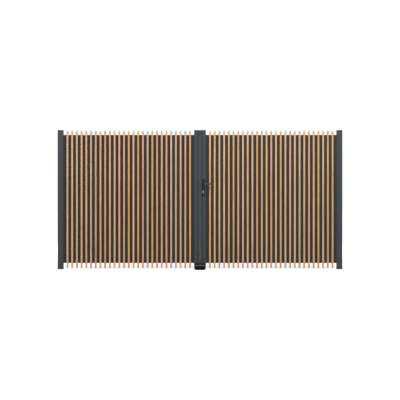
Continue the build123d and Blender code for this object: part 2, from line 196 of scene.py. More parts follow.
def geometry_tree(name, sizes, others=None):
    """A geometry tree with named inputs for its sizes, its input and its output node."""
    tree = bpy.data.node_groups.new(name, "GeometryNodeTree")
    tree.interface.new_socket("Geometry", in_out="INPUT", socket_type="NodeSocketGeometry")
    for label in sizes:
        tree.interface.new_socket(label, in_out="INPUT", socket_type="NodeSocketFloat")
    for label, kind in (others or {}).items():
        tree.interface.new_socket(label, in_out="INPUT", socket_type=kind)
    tree.interface.new_socket("Geometry", in_out="OUTPUT", socket_type="NodeSocketGeometry")
    return tree, tree.nodes.new("NodeGroupInput"), tree.nodes.new("NodeGroupOutput")


def end_tree(tree, shape, material, output):
    """Makes a tree's instances real, gives them their material and hands them out."""
    real = add_node(tree, "GeometryNodeRealizeInstances")
    paint = add_node(tree, "GeometryNodeSetMaterial", {"Material": material})
    tree.links.new(shape, real.inputs["Geometry"])
    tree.links.new(real.outputs["Geometry"], paint.inputs["Geometry"])
    tree.links.new(paint.outputs["Geometry"], output.inputs["Geometry"])


def end_on_points(tree, points, shape, material, output):
    """Puts a copy of a shape on every point and ends the tree."""
    place = add_node(tree, "GeometryNodeInstanceOnPoints")
    tree.links.new(points, place.inputs["Points"])
    tree.links.new(shape, place.inputs["Instance"])
    end_tree(tree, place.outputs["Instances"], material, output)


def grow(name, tree, values, body, points=(), edges=()):
    """Runs a tree on points and edges and keeps the result as a plain mesh on its body."""
    mesh = bpy.data.meshes.new(name + "_points")
    mesh.from_pydata([tuple(point) for point in points], edges, [])
    piece = bpy.data.objects.new(name, mesh)
    bpy.context.scene.collection.objects.link(piece)
    modifier = piece.modifiers.new("grow", "NODES")
    modifier.node_group = tree
    for item in tree.interface.items_tree:
        if item.in_out == "INPUT" and item.name in values:
            modifier[item.identifier] = values[item.name]
    drawn = piece.evaluated_get(bpy.context.evaluated_depsgraph_get())
    plain = bpy.data.meshes.new_from_object(drawn)
    piece.modifiers.remove(modifier)
    piece.data = plain
    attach(piece, body)
    return piece


def facing(tree, shape, turn):
    """The same shape turned about the origin, with turn in radians."""
    turned = add_node(tree, "GeometryNodeTransform", {"Rotation": turn})
    tree.links.new(shape, turned.inputs["Geometry"])
    return turned.outputs["Geometry"]


def tapered(tree, radius, height, sides, top_share, steps=1):
    """A short upright cone, its top a share as wide as its foot."""
    cone = add_node(tree, "GeometryNodeMeshCone", {"Vertices": sides, "Side Segments": steps})
    top = add_node(tree, "ShaderNodeMath", {1: top_share}, operation="MULTIPLY")
    tree.links.new(radius, cone.inputs["Radius Bottom"])
    tree.links.new(radius, top.inputs[0])
    tree.links.new(top.outputs[0], cone.inputs["Radius Top"])
    tree.links.new(height, cone.inputs["Depth"])
    return cone.outputs["Mesh"]


def screw_tree(name, material, turn):
    """Button-head screws on given points, turned from facing up by turn, in radians."""
    tree, given, output = geometry_tree(name, ("Head Radius", "Head Height", "Socket Radius"))
    head = tapered(tree, given.outputs["Head Radius"], given.outputs["Head Height"],
                   SCREW_SIDES, SCREW_CROWN_SHARE)
    socket = add_node(tree, "GeometryNodeMeshCylinder", {"Vertices": HEXAGON})
    tree.links.new(given.outputs["Socket Radius"], socket.inputs["Radius"])
    tree.links.new(given.outputs["Head Height"], socket.inputs["Depth"])
    upward = add_node(tree, "ShaderNodeCombineXYZ")
    lift = add_node(tree, "ShaderNodeVectorMath", {"Scale": SOCKET_LIFT_SHARE}, operation="SCALE")
    raised = add_node(tree, "GeometryNodeTransform")
    tree.links.new(given.outputs["Head Height"], upward.inputs["Z"])
    tree.links.new(upward.outputs["Vector"], lift.inputs[0])
    tree.links.new(socket.outputs["Mesh"], raised.inputs["Geometry"])
    tree.links.new(lift.outputs[0], raised.inputs["Translation"])
    cut = add_node(tree, "GeometryNodeMeshBoolean", operation="DIFFERENCE", solver="EXACT")
    tree.links.new(head, cut.inputs["Mesh 1"])
    tree.links.new(raised.outputs["Geometry"], cut.inputs["Mesh 2"])
    end_on_points(tree, given.outputs["Geometry"], facing(tree, cut.outputs["Mesh"], turn),
                  material, output)
    return tree


def plate_corners(low, high, y, inset):
    """Four points on an upright plate's face, set in from its corners in x and z."""
    return [(x, y, z) for x in (low[0] + inset, high[0] - inset)
            for z in (low[1] + inset, high[1] - inset)]


STEEL = (0.38, 0.38, 0.375, 1.0)
BRUSH_LINES_PER_METRE = 900.0
BRUSH_DETAIL = 3.0
BRUSH_TONE = (0.86, 1.08)
BRUSH_SHEEN = (-0.06, 0.08)
BRUSH_STRENGTH = 0.12
BRUSH_DEPTH = 0.0001


def brushed_metal(name, colour, roughness, stretch=(1, 1, 1)):
    """Bare metal with fine lines, drawn along the direction that is stretched."""
    material, tree, shader, place = new_material(name)
    lines = speckle(tree, place, BRUSH_LINES_PER_METRE, BRUSH_DETAIL, stretch)
    tone = graded(tree, lines, [(NOISE_LOW, scaled(colour, BRUSH_TONE[0])),
                                (NOISE_HIGH, scaled(colour, BRUSH_TONE[1]))])
    tree.links.new(tone, shader.inputs["Base Color"])
    sheen = between(tree, lines, roughness + BRUSH_SHEEN[0], roughness + BRUSH_SHEEN[1])
    tree.links.new(sheen, shader.inputs["Roughness"])
    shader.inputs["Metallic"].default_value = 1.0
    add_bump(tree, shader, lines, BRUSH_STRENGTH, BRUSH_DEPTH)
    return material


zinc = brushed_metal("zinc_plated_steel", STEEL, roughness=0.38)
back_screws = screw_tree("back_screws", zinc, TO_BACK)
for side, outward in (("left", -1), ("right", 1)):
    dress(f"{side}_pintles", hinge_coat)
    dress(f"{side}_hinge_straps", hinge_coat)
    low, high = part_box(f"{side}_pintles")
    strap_low, strap_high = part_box(f"{side}_hinge_straps")
    hinge_spacing = strap_high.z - strap_low.z - STRAP_HEIGHT
    x_out = low.x if outward < 0 else high.x
    x_in = x_out - outward * PINTLE_PLATE_WIDTH
    y = low.y + PINTLE_PLATE_THICKNESS
    points = []
    for z in (low.z, low.z + hinge_spacing):
        corners = ((min(x_in, x_out), z), (max(x_in, x_out), z + PINTLE_PLATE_HEIGHT))
        points += plate_corners(*corners, y, SCREW_EDGE_INSET)
    grow(f"{side}_pintle_screws", back_screws, SCREW, "posts", points)
    x_end = strap_high.x if outward < 0 else strap_low.x
    y = strap_low.y + STRAP_THICKNESS
    points = [(x_end + outward * SCREW_EDGE_INSET, y, z + share * STRAP_HEIGHT)
              for z in (strap_low.z, strap_high.z - STRAP_HEIGHT) for share in STRAP_SCREW_SHARES]
    grow(f"{side}_strap_screws", back_screws, SCREW, BODY[side], points)

# Leaf frames
# Extruded hinge stile, rails and deep lock stile, butted and welded, then coated.
# A weld bead runs over, behind and under each rail where it meets the stiles.
BEAD_RADIUS = 0.0022
BEAD = {"Radius": BEAD_RADIUS, "Ripple": 0.0004, "Ripples Per Metre": 420.0}
BEAD_STEP = 0.0016
BEAD_SIDES = 8

for side in SIDES:
    for piece in ("hinge_stile", "lock_stile", "stile_plugs", "top_rail", "middle_rail",
                  "bottom_rail"):
        dress(f"{side}_{piece}", anthracite)


def bead_tree(name, material):
    """A rippled weld bead along the edges that it is given."""
    tree, given, output = geometry_tree(name, ("Radius", "Ripple", "Ripples Per Metre"))
    curve = add_node(tree, "GeometryNodeMeshToCurve")
    spaced = add_node(tree, "GeometryNodeResampleCurve", {"Length": BEAD_STEP}, mode="LENGTH")
    ring = add_node(tree, "GeometryNodeCurvePrimitiveCircle", {"Resolution": BEAD_SIDES})
    sweep = add_node(tree, "GeometryNodeCurveToMesh")
    place = add_node(tree, "GeometryNodeInputPosition")
    noise = add_node(tree, "ShaderNodeTexNoise", {"Detail": 1.0})
    normal = add_node(tree, "GeometryNodeInputNormal")
    centred = add_node(tree, "ShaderNodeMath", {1: 0.5}, operation="SUBTRACT")
    amount = add_node(tree, "ShaderNodeMath", operation="MULTIPLY")
    push = add_node(tree, "ShaderNodeVectorMath", operation="SCALE")
    ripple = add_node(tree, "GeometryNodeSetPosition")
    tree.links.new(given.outputs["Geometry"], curve.inputs["Mesh"])
    tree.links.new(curve.outputs["Curve"], spaced.inputs["Curve"])
    tree.links.new(given.outputs["Radius"], ring.inputs["Radius"])
    tree.links.new(spaced.outputs["Curve"], sweep.inputs["Curve"])
    tree.links.new(ring.outputs["Curve"], sweep.inputs["Profile Curve"])
    tree.links.new(place.outputs["Position"], noise.inputs["Vector"])
    tree.links.new(given.outputs["Ripples Per Metre"], noise.inputs["Scale"])
    tree.links.new(noise.outputs["Fac"], centred.inputs[0])
    tree.links.new(centred.outputs[0], amount.inputs[0])
    tree.links.new(given.outputs["Ripple"], amount.inputs[1])
    tree.links.new(normal.outputs["Normal"], push.inputs[0])
    tree.links.new(amount.outputs[0], push.inputs["Scale"])
    tree.links.new(sweep.outputs["Mesh"], ripple.inputs["Geometry"])
    tree.links.new(push.outputs[0], ripple.inputs["Offset"])
    end_tree(tree, ripple.outputs["Geometry"], material, output)
    return tree


weld_beads = bead_tree("weld_beads", anthracite)
for side in SIDES:
    points = []
    edges = []
    for piece in ("top_rail", "middle_rail", "bottom_rail"):
        low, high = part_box(f"{side}_{piece}")
        for x in (low.x + BEAD_RADIUS / 2, high.x - BEAD_RADIUS / 2):
            start = len(points)
            points += [(x, low.y, high.z), (x, high.y, high.z),
                       (x, high.y, low.z), (x, low.y, low.z)]
            edges += [(start + i, start + i + 1) for i in range(3)]
    grow(f"{side}_weld_beads", weld_beads, BEAD, BODY[side], points, edges)

# Facing sheets
# One flat aluminium sheet closes each leaf behind the battens, with a duller, warmer coat
# than the frame's. Blind rivets through it hold the battens: their heads show in rows behind.
RIVET = {"Head Radius": 0.0045, "Head Height": 0.0014, "Pin Radius": 0.0012}
RIVET_SIDES = 14
RIVET_STEPS = 2
RIVET_CROWN_SHARE = 0.45
RIVET_PIN_SIDES = 8
RIVET_PIN_SHARE = 2.2
RIVET_ROWS = 8
RIVET_END_DISTANCE = 0.030
BATTEN_COUNT = 27
BATTEN_WIDTH = 0.022
SHEET_COAT = (0.040, 0.037, 0.033, 1.0)

sheet_coat = powder_coat("sheet_matt_coat", SHEET_COAT, roughness=0.72,
                         grain_strength=COAT_GRAIN_STRENGTH, gloss=0.3)
for side in SIDES:
    dress(f"{side}_sheet", sheet_coat)


def rivet_tree(name, material):
    """Domed rivet heads with the stub of the pin, in a grid that stands up."""
    tree, given, output = geometry_tree(
        name, ("Width", "Height", "Head Radius", "Head Height", "Pin Radius"),
        {"Columns": "NodeSocketInt", "Rows": "NodeSocketInt", "Middle": "NodeSocketVector"})
    grid = add_node(tree, "GeometryNodeMeshGrid")
    upright = add_node(tree, "GeometryNodeTransform", {"Rotation": (math.pi / 2, 0, 0)})
    placed = add_node(tree, "GeometryNodeTransform")
    for label, socket in (("Width", "Size X"), ("Height", "Size Y"), ("Columns", "Vertices X"),
                          ("Rows", "Vertices Y")):
        tree.links.new(given.outputs[label], grid.inputs[socket])
    tree.links.new(grid.outputs["Mesh"], upright.inputs["Geometry"])
    tree.links.new(upright.outputs["Geometry"], placed.inputs["Geometry"])
    tree.links.new(given.outputs["Middle"], placed.inputs["Translation"])
    dome = tapered(tree, given.outputs["Head Radius"], given.outputs["Head Height"],
                   RIVET_SIDES, RIVET_CROWN_SHARE, RIVET_STEPS)
    pin = add_node(tree, "GeometryNodeMeshCylinder", {"Vertices": RIVET_PIN_SIDES})
    deep = add_node(tree, "ShaderNodeMath", {1: RIVET_PIN_SHARE}, operation="MULTIPLY")
    both = add_node(tree, "GeometryNodeJoinGeometry")
    tree.links.new(given.outputs["Pin Radius"], pin.inputs["Radius"])
    tree.links.new(given.outputs["Head Height"], deep.inputs[0])
    tree.links.new(deep.outputs[0], pin.inputs["Depth"])
    tree.links.new(dome, both.inputs["Geometry"])
    tree.links.new(pin.outputs["Mesh"], both.inputs["Geometry"])
    end_on_points(tree, placed.outputs["Geometry"], facing(tree, both.outputs["Geometry"], TO_BACK),
                  material, output)
    return tree


def batten_pitch(side):
    """The spacing of a leaf's battens, from one to the next."""
    low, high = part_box(f"{side}_battens")
    return (high.x - low.x - BATTEN_WIDTH) / (BATTEN_COUNT - 1)


rivets = rivet_tree("rivets", anthracite)
for side in SIDES:
    pitch = batten_pitch(side)
    first_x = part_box(f"{side}_battens")[0].x + BATTEN_WIDTH / 2
    rail_low, rail_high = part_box(f"{side}_bottom_rail")
    sheet_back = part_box(f"{side}_sheet")[1]
    edge = first_x if side == "right" else first_x + pitch
    width = pitch * (BATTEN_COUNT - 2)
    bottom = rail_high.z + RIVET_END_DISTANCE
    top = sheet_back.z - (rail_high.z - rail_low.z) - RIVET_END_DISTANCE
    grow(f"{side}_rivets", rivets,
         {**RIVET, "Width": width, "Height": top - bottom, "Columns": BATTEN_COUNT - 1,
          "Rows": RIVET_ROWS, "Middle": (edge + width / 2, sheet_back.y, (bottom + top) / 2)},
         BODY[side])

# Battens
# Rectangular aluminium tubes with a plug in the top, open below to drain.
# They are wrapped in a printed light oak film, and no two are quite the same tone.
BATTEN_WALL = 0.0015
BATTEN = {"Width": BATTEN_WIDTH, "Wall": BATTEN_WALL, "Corner": 0.0015, "Plug Inset": 0.0004,
          "Plug Thickness": 0.0020, "Plug Seam": 0.0005}
CORNER_STEPS = 3
TONE_SEED = 11
OAK_DARK = (0.525, 0.274, 0.126, 1.0)
OAK_MIDDLE = (0.674, 0.386, 0.197, 1.0)
OAK_LIGHT = (0.772, 0.478, 0.268, 1.0)
OAK_STOPS = [(0.34, OAK_DARK), (0.48, OAK_MIDDLE), (0.66, OAK_LIGHT)]
OAK_ROUGHNESS = (0.50, 0.62)
BRIGHTNESS_SPREAD = (0.92, 1.08)
HUE_SPREAD = (0.490, 0.508)
DEPTH_SPREAD = (0.88, 1.12)
GRAIN_SHIFT = 7.0
FIGURE_SHARE = 0.55
PORE_STRENGTH = 0.25
PORE_DEPTH = 0.0002
# Marks per metre, detail and stretch of the film's fibre, its broad figure and its pores
FIBRE = (420.0, 5.0, (1, 1, 0.018))
FIGURE = (60.0, 3.0, (1, 1, 0.045))
PORE = (1500.0, 2.0, (1, 1, 0.03))


def batten_tree(name, material):
    """A row of hollow battens on the points, each with its own random tone."""
    tree, given, output = geometry_tree(name, (*BATTEN, "Depth", "Length"),
                                        {"Seed": "NodeSocketInt"})

    def combined(operation, first, second):
        """One operation on two values, each a number or a socket."""
        made = add_node(tree, "ShaderNodeMath", operation=operation)
        for socket, value in enumerate((first, second)):
            if isinstance(value, (int, float)):
                made.inputs[socket].default_value = value
            else:
                tree.links.new(value, made.inputs[socket])
        return made.outputs[0]

    def less(label, taken, times):
        """A named size less so many times another one."""
        return combined("SUBTRACT", given.outputs[label], combined("MULTIPLY", taken, times))

    def bar(width, depth, corner, z0, z1):
        """A closed upright bar with round corners, from z0 to z1."""
        outline = add_node(tree, "GeometryNodeCurvePrimitiveQuadrilateral")
        rounded = add_node(tree, "GeometryNodeFilletCurve", {"Count": CORNER_STEPS}, mode="POLY")
        line = add_node(tree, "GeometryNodeCurvePrimitiveLine")
        swept = add_node(tree, "GeometryNodeCurveToMesh", {"Fill Caps": True})
        tree.links.new(width, outline.inputs["Width"])
        tree.links.new(depth, outline.inputs["Height"])
        tree.links.new(outline.outputs["Curve"], rounded.inputs["Curve"])
        tree.links.new(corner, rounded.inputs["Radius"])
        for socket, z in (("Start", z0), ("End", z1)):
            end = add_node(tree, "ShaderNodeCombineXYZ")
            if isinstance(z, float):
                end.inputs["Z"].default_value = z
            else:
                tree.links.new(z, end.inputs["Z"])
            tree.links.new(end.outputs["Vector"], line.inputs[socket])
        tree.links.new(line.outputs["Curve"], swept.inputs["Curve"])
        tree.links.new(rounded.outputs["Curve"], swept.inputs["Profile Curve"])
        return swept.outputs["Mesh"]

    wall = given.outputs["Wall"]
    inset = given.outputs["Plug Inset"]
    plug_z = less("Length", given.outputs["Plug Thickness"], 1.0)
    tube_top = combined("SUBTRACT", plug_z, given.outputs["Plug Seam"])
    hollow_top = combined("SUBTRACT", tube_top, wall)
    tube = bar(given.outputs["Width"], given.outputs["Depth"], given.outputs["Corner"],
               0.0, tube_top)
    hollow = bar(less("Width", wall, 2.0), less("Depth", wall, 2.0),
                 combined("MULTIPLY", given.outputs["Corner"], 0.5), -BATTEN_WALL, hollow_top)
    plug = bar(less("Width", inset, 2.0), less("Depth", inset, 2.0), given.outputs["Corner"],
               plug_z, given.outputs["Length"])
    neck = bar(less("Width", wall, 2.0), less("Depth", wall, 2.0),
               combined("MULTIPLY", given.outputs["Corner"], 0.5), tube_top, plug_z)
    cut = add_node(tree, "GeometryNodeMeshBoolean", operation="DIFFERENCE", solver="EXACT")
    tree.links.new(tube, cut.inputs["Mesh 1"])
    tree.links.new(hollow, cut.inputs["Mesh 2"])
    one = add_node(tree, "GeometryNodeJoinGeometry")
    for shape in (cut.outputs["Mesh"], neck, plug):
        tree.links.new(shape, one.inputs["Geometry"])
    row = add_node(tree, "GeometryNodeInstanceOnPoints")
    tree.links.new(given.outputs["Geometry"], row.inputs["Points"])
    tree.links.new(one.outputs["Geometry"], row.inputs["Instance"])
    chance = add_node(tree, "FunctionNodeRandomValue", data_type="FLOAT_VECTOR")
    tree.links.new(given.outputs["Seed"], chance.inputs["Seed"])
    keep = add_node(tree, "GeometryNodeStoreNamedAttribute", {"Name": "batten_tone"},
                    data_type="FLOAT_VECTOR", domain="INSTANCE")
    tree.links.new(row.outputs["Instances"], keep.inputs["Geometry"])
    tree.links.new(chance.outputs["Value"], keep.inputs["Value"])
    end_tree(tree, keep.outputs["Geometry"], material, output)
    return tree


def oak_film():
    """Printed oak grain, stretched along the batten, shifted and toned for each one."""
    material, tree, shader, place = new_material("oak_grain_film")
    own = add_node(tree, "ShaderNodeAttribute", attribute_name="batten_tone")
    parts = add_node(tree, "ShaderNodeSeparateXYZ")
    tree.links.new(own.outputs["Vector"], parts.inputs["Vector"])
    away = add_node(tree, "ShaderNodeVectorMath", {"Scale": GRAIN_SHIFT}, operation="SCALE")
    moved = add_node(tree, "ShaderNodeVectorMath", operation="ADD")
    tree.links.new(own.outputs["Vector"], away.inputs[0])
    tree.links.new(place, moved.inputs[0])
    tree.links.new(away.outputs[0], moved.inputs[1])
    fibre, figure, pore = (speckle(tree, moved.outputs[0], *marks)
                           for marks in (FIBRE, FIGURE, PORE))
    grain = add_node(tree, "ShaderNodeMix", {"Factor": FIGURE_SHARE}, data_type="FLOAT")
    tree.links.new(fibre, grain.inputs["A"])
    tree.links.new(figure, grain.inputs["B"])
    wood = graded(tree, grain.outputs["Result"], OAK_STOPS)
    tint = add_node(tree, "ShaderNodeHueSaturation")
    for axis, (least, most), socket in (("X", BRIGHTNESS_SPREAD, "Value"),
                                        ("Y", HUE_SPREAD, "Hue"),
                                        ("Z", DEPTH_SPREAD, "Saturation")):
        spread = add_node(tree, "ShaderNodeMapRange", {"To Min": least, "To Max": most})
        tree.links.new(parts.outputs[axis], spread.inputs["Value"])
        tree.links.new(spread.outputs["Result"], tint.inputs[socket])
    tree.links.new(wood, tint.inputs["Color"])
    tree.links.new(tint.outputs["Color"], shader.inputs["Base Color"])
    tree.links.new(between(tree, fibre, *OAK_ROUGHNESS), shader.inputs["Roughness"])
    add_bump(tree, shader, pore, PORE_STRENGTH, PORE_DEPTH)
    return material


batten_rows = batten_tree("batten_rows", oak_film())
for side_number, side in enumerate(SIDES):
    low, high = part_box(f"{side}_battens")
    pitch = batten_pitch(side)
    points = [(low.x + BATTEN_WIDTH / 2 + i * pitch, (low.y + high.y) / 2, low.z)
              for i in range(BATTEN_COUNT)]
    row = grow(f"{side}_batten_row", batten_rows,
               {**BATTEN, "Depth": high.y - low.y, "Length": high.z - low.z,
                "Seed": TONE_SEED + side_number}, BODY[side], points)
    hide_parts(f"{side}_battens")

# Meeting stiles
# A flat bar on each lock stile covers half of the gap between the leaves from the front.
# Behind the bars a black rubber seal on each stile all but closes the gap.
RUBBER = (0.016, 0.016, 0.017, 1.0)
rubber = powder_coat("black_rubber", RUBBER, roughness=0.72, grain_strength=0.5, gloss=0.2)
for side in SIDES:
    dress(f"{side}_centre_strip", anthracite)
    dress(f"{side}_seal", rubber)

# Lock
# A long cast plate on each face of the right stile, satin coated, with a nickel cylinder.
# The forend and the strike are brushed steel plates let into the stiles' edges, and the
# lever's spindle and the drop bolt's rod are of the same steel.
LOCK_COAT = (0.013, 0.0145, 0.016, 1.0)
NICKEL = (0.36, 0.37, 0.375, 1.0)
COLLAR_RING = {"Ring Radius": 0.0112, "Wire Radius": 0.0011}
ROTOR_RING = {"Ring Radius": 0.0062, "Wire Radius": 0.0004}
RING_SIDES = 40
WIRE_SIDES = 10
PLATE_SCREW = {"Head Radius": 0.0042, "Head Height": 0.0016, "Socket Radius": 0.0018}
PLATE_SCREW_ABOVE_LEVER = 0.052
PLATE_SCREW_BELOW_LEVER = 0.138
EDGE_SCREW = {"Head Radius": 0.0040, "Head Height": 0.0006, "Socket Radius": 0.0017}
EDGE_SCREW_INSET = 0.012

lock_coat = powder_coat("lock_satin_coat", LOCK_COAT, roughness=0.38, grain_strength=0.10,
                        gloss=0.25)
nickel = brushed_metal("satin_nickel", NICKEL, roughness=0.30, stretch=(1, 1, 0.2))
steel = brushed_metal("brushed_steel", STEEL, roughness=0.34, stretch=(1, 1, 0.02))
for piece in ("front_plate", "back_plate"):
    dress(piece, lock_coat)
for piece in ("lock_forend", "left_strike", "lever_spindle", "drop_bolt_rod"):
    dress(piece, steel)
dress("lock_cylinder", nickel)


def ring_tree(name, material):
    """Round-wire rings on the points, each lying in an upright plane along the gate."""
    tree, given, output = geometry_tree(name, ("Ring Radius", "Wire Radius"))
    ring = add_node(tree, "GeometryNodeCurvePrimitiveCircle", {"Resolution": RING_SIDES})
    wire = add_node(tree, "GeometryNodeCurvePrimitiveCircle", {"Resolution": WIRE_SIDES})
    sweep = add_node(tree, "GeometryNodeCurveToMesh")
    tree.links.new(given.outputs["Ring Radius"], ring.inputs["Radius"])
    tree.links.new(given.outputs["Wire Radius"], wire.inputs["Radius"])
    tree.links.new(ring.outputs["Curve"], sweep.inputs["Curve"])
    tree.links.new(wire.outputs["Curve"], sweep.inputs["Profile Curve"])
    end_on_points(tree, given.outputs["Geometry"], facing(tree, sweep.outputs["Mesh"], TO_BACK),
                  material, output)
    return tree


spindle_low, spindle_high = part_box("lever_spindle")
lever_x = (spindle_low.x + spindle_high.x) / 2
lever_z = (spindle_low.z + spindle_high.z) / 2
plate_y = (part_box("front_plate")[0].y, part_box("back_plate")[1].y)
cylinder_low, cylinder_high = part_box("lock_cylinder")
rotor_z = cylinder_high.z - (cylinder_high.x - cylinder_low.x) / 2
grow("lever_collars", ring_tree("lever_collars", lock_coat), COLLAR_RING, "right_leaf",
     [(lever_x, y, lever_z) for y in plate_y])
grow("rotor_rings", ring_tree("rotor_rings", nickel), ROTOR_RING, "right_leaf",
     [(lever_x, y, rotor_z) for y in (cylinder_low.y, cylinder_high.y)])
grow("plate_screws", back_screws, PLATE_SCREW, "right_leaf",
     [(lever_x, plate_y[1], lever_z + rise)
      for rise in (PLATE_SCREW_ABOVE_LEVER, -PLATE_SCREW_BELOW_LEVER)])
for node, body, outward in (("lock_forend", "right_leaf", -1), ("left_strike", "left_leaf", 1)):
    low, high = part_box(node)
    edge_x = high.x if outward > 0 else low.x
    edge_screws = screw_tree(f"{node}_screws", steel, (0, outward * math.pi / 2, 0))
    grow(f"{node}_screws", edge_screws, EDGE_SCREW, body,
         [(edge_x, (low.y + high.y) / 2, z)
          for z in (low.z + EDGE_SCREW_INSET, high.z - EDGE_SCREW_INSET)])

# Levers
# Round-bar levers, bent once, that turn in the plates' collars.
# A grub screw in the underside of each holds it on the spindle.
GRUB_SCREW = {"Head Radius": 0.0026, "Head Height": 0.0004, "Socket Radius": 0.0014}
GRUB_FROM_PLATE = 0.0095
LEVER_COAT = (0.020, 0.022, 0.024, 1.0)
lever_coat = powder_coat("lever_smooth_coat", LEVER_COAT, roughness=0.26, grain_strength=0.06,
                         gloss=0.5)
for piece in ("front_lever", "back_lever"):
    dress(piece, lever_coat)
lever_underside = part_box("front_lever")[0].z
grow("grub_screws", screw_tree("grub_screws", zinc, (math.pi, 0, 0)), GRUB_SCREW, "lever",
     [(lever_x, plate_y[0] - GRUB_FROM_PLATE, lever_underside),
                      (lever_x, plate_y[1] + GRUB_FROM_PLATE, lever_underside)])

# Ground stop and bolt guides
# Black moulded pieces with a fine spark-eroded grain, and a rubber pad for the stiles.
# The block's upper front edge is smoother, and a lighter grey is painted on it as a highlight.
BLACK_MOULDING = (0.006, 0.006, 0.0065, 1.0)
# The grey below is a painted highlight on the stop block's upper front edge.
PAINTED_HIGHLIGHT_GREY = (0.135, 0.137, 0.140, 1.0)
HIGHLIGHT_HEIGHT = 0.0082
HIGHLIGHT_DEPTH = 0.0060
HIGHLIGHT_FADE = 0.0010
HIGHLIGHT_ROUGHNESS = 0.34
HIGHLIGHT_MARKS_PER_METRE = 160.0
HIGHLIGHT_DETAIL = 4.0
HIGHLIGHT_LEAST_SHARE = 0.75
STOP_BLOCK_TOP = 0.0595
ANCHOR = {"Head Radius": 0.0085, "Head Height": 0.0042, "Washer Radius": 0.0100,
          "Washer Thickness": 0.0012}
ANCHOR_CROWN_SHARE = 0.92
WASHER_EDGE_SHARE = 0.96
WASHER_SIDES = 28
ANCHOR_SPACING = 0.070
ANCHOR_FRONT_INSET = 0.084
ANCHOR_REAR_INSET = 0.060
ANCHOR_SEAT_ABOVE_BASE = 0.006
GUIDE_SCREW = {"Head Radius": 0.0032, "Head Height": 0.0016, "Socket Radius": 0.0014}
GUIDE_SCREW_SPACING = 0.025
GUIDE_COUNT = 3
GUIDE_HEIGHT = 0.024

moulding, stop_moulding = (
    powder_coat(name, BLACK_MOULDING, roughness=0.50, grain_strength=0.4, gloss=0.12)
    for name in ("black_moulding", "stop_moulding"))


def paint_edge_highlight(material, above_z, before_y):
    """Paints a grey highlight on a finish above a height and before a depth, and smooths it there.
    """
    tree = material.node_tree
    shader = tree.nodes["Principled BSDF"]
    place = add_node(tree, "ShaderNodeTexCoord").outputs["Object"]
    parts = add_node(tree, "ShaderNodeSeparateXYZ")
    high = add_node(tree, "ShaderNodeMapRange", {"From Min": above_z - HIGHLIGHT_FADE,
                                                 "From Max": above_z})
    front = add_node(tree, "ShaderNodeMapRange", {"From Min": before_y + HIGHLIGHT_FADE,
                                                  "From Max": before_y})
    marks = speckle(tree, place, HIGHLIGHT_MARKS_PER_METRE, HIGHLIGHT_DETAIL)
    highlight_patches = between(tree, marks, HIGHLIGHT_LEAST_SHARE, 1.0)
    both = add_node(tree, "ShaderNodeMath", operation="MULTIPLY")
    share = add_node(tree, "ShaderNodeMath", operation="MULTIPLY")
    tree.links.new(place, parts.inputs["Vector"])
    tree.links.new(parts.outputs["Z"], high.inputs["Value"])
    tree.links.new(parts.outputs["Y"], front.inputs["Value"])
    tree.links.new(high.outputs["Result"], both.inputs[0])
    tree.links.new(front.outputs["Result"], both.inputs[1])
    tree.links.new(both.outputs[0], share.inputs[0])
    tree.links.new(highlight_patches, share.inputs[1])
    # The grey mixed in here is a painted highlight, made patchy by the noise.
    tone = add_node(tree, "ShaderNodeMix", {"B": PAINTED_HIGHLIGHT_GREY}, data_type="RGBA")
    sheen = add_node(tree, "ShaderNodeMix", {"B": HIGHLIGHT_ROUGHNESS}, data_type="FLOAT")
    tree.links.new(shader.inputs["Base Color"].links[0].from_socket, tone.inputs["A"])
    tree.links.new(shader.inputs["Roughness"].links[0].from_socket, sheen.inputs["A"])
    tree.links.new(share.outputs[0], tone.inputs["Factor"])
    tree.links.new(share.outputs[0], sheen.inputs["Factor"])
    tree.links.new(tone.outputs["Result"], shader.inputs["Base Color"])
    tree.links.new(sheen.outputs["Result"], shader.inputs["Roughness"])


stop_low, stop_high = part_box("stop_body")
paint_edge_highlight(stop_moulding, STOP_BLOCK_TOP - HIGHLIGHT_HEIGHT, stop_low.y + HIGHLIGHT_DEPTH)
for piece in ("stop_base", "stop_body"):
    dress(piece, stop_moulding)
dress("drop_bolt_guides", moulding)
dress("stop_pad", rubber)


def anchor_tree(name, material):
    """Hexagon anchor heads on washers, upright on the points."""
    tree, given, output = geometry_tree(name, tuple(ANCHOR))
    washer = tapered(tree, given.outputs["Washer Radius"], given.outputs["Washer Thickness"],
                     WASHER_SIDES, WASHER_EDGE_SHARE)
    head = tapered(tree, given.outputs["Head Radius"], given.outputs["Head Height"],
                   HEXAGON, ANCHOR_CROWN_SHARE)
    lift = add_node(tree, "ShaderNodeCombineXYZ")
    raised = add_node(tree, "GeometryNodeTransform")
    both = add_node(tree, "GeometryNodeJoinGeometry")
    tree.links.new(given.outputs["Washer Thickness"], lift.inputs["Z"])
    tree.links.new(head, raised.inputs["Geometry"])
    tree.links.new(lift.outputs["Vector"], raised.inputs["Translation"])
    tree.links.new(washer, both.inputs["Geometry"])
    tree.links.new(raised.outputs["Geometry"], both.inputs["Geometry"])
    end_on_points(tree, given.outputs["Geometry"], both.outputs["Geometry"], material, output)
    return tree


stop_middle_x = (stop_low.x + stop_high.x) / 2
base_low, base_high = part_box("stop_base")
grow("stop_anchors", anchor_tree("stop_anchors", zinc), ANCHOR, "posts",
     [(stop_middle_x + share * ANCHOR_SPACING, y, z) for share in (-0.5, 0.5)
      for y, z in ((base_low.y + ANCHOR_FRONT_INSET, base_high.z + ANCHOR_SEAT_ABOVE_BASE),
                   (base_high.y - ANCHOR_REAR_INSET, base_high.z))])

guide_low, guide_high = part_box("drop_bolt_guides")
guide_middle_x = (guide_low.x + guide_high.x) / 2
guide_spacing = (guide_high.z - guide_low.z - GUIDE_HEIGHT) / (GUIDE_COUNT - 1)
grow("guide_screws", back_screws, GUIDE_SCREW, "left_leaf",
     [(guide_middle_x + share * GUIDE_SCREW_SPACING, guide_high.y,
       guide_low.z + GUIDE_HEIGHT / 2 + i * guide_spacing)
      for share in (-0.5, 0.5) for i in range(GUIDE_COUNT)])

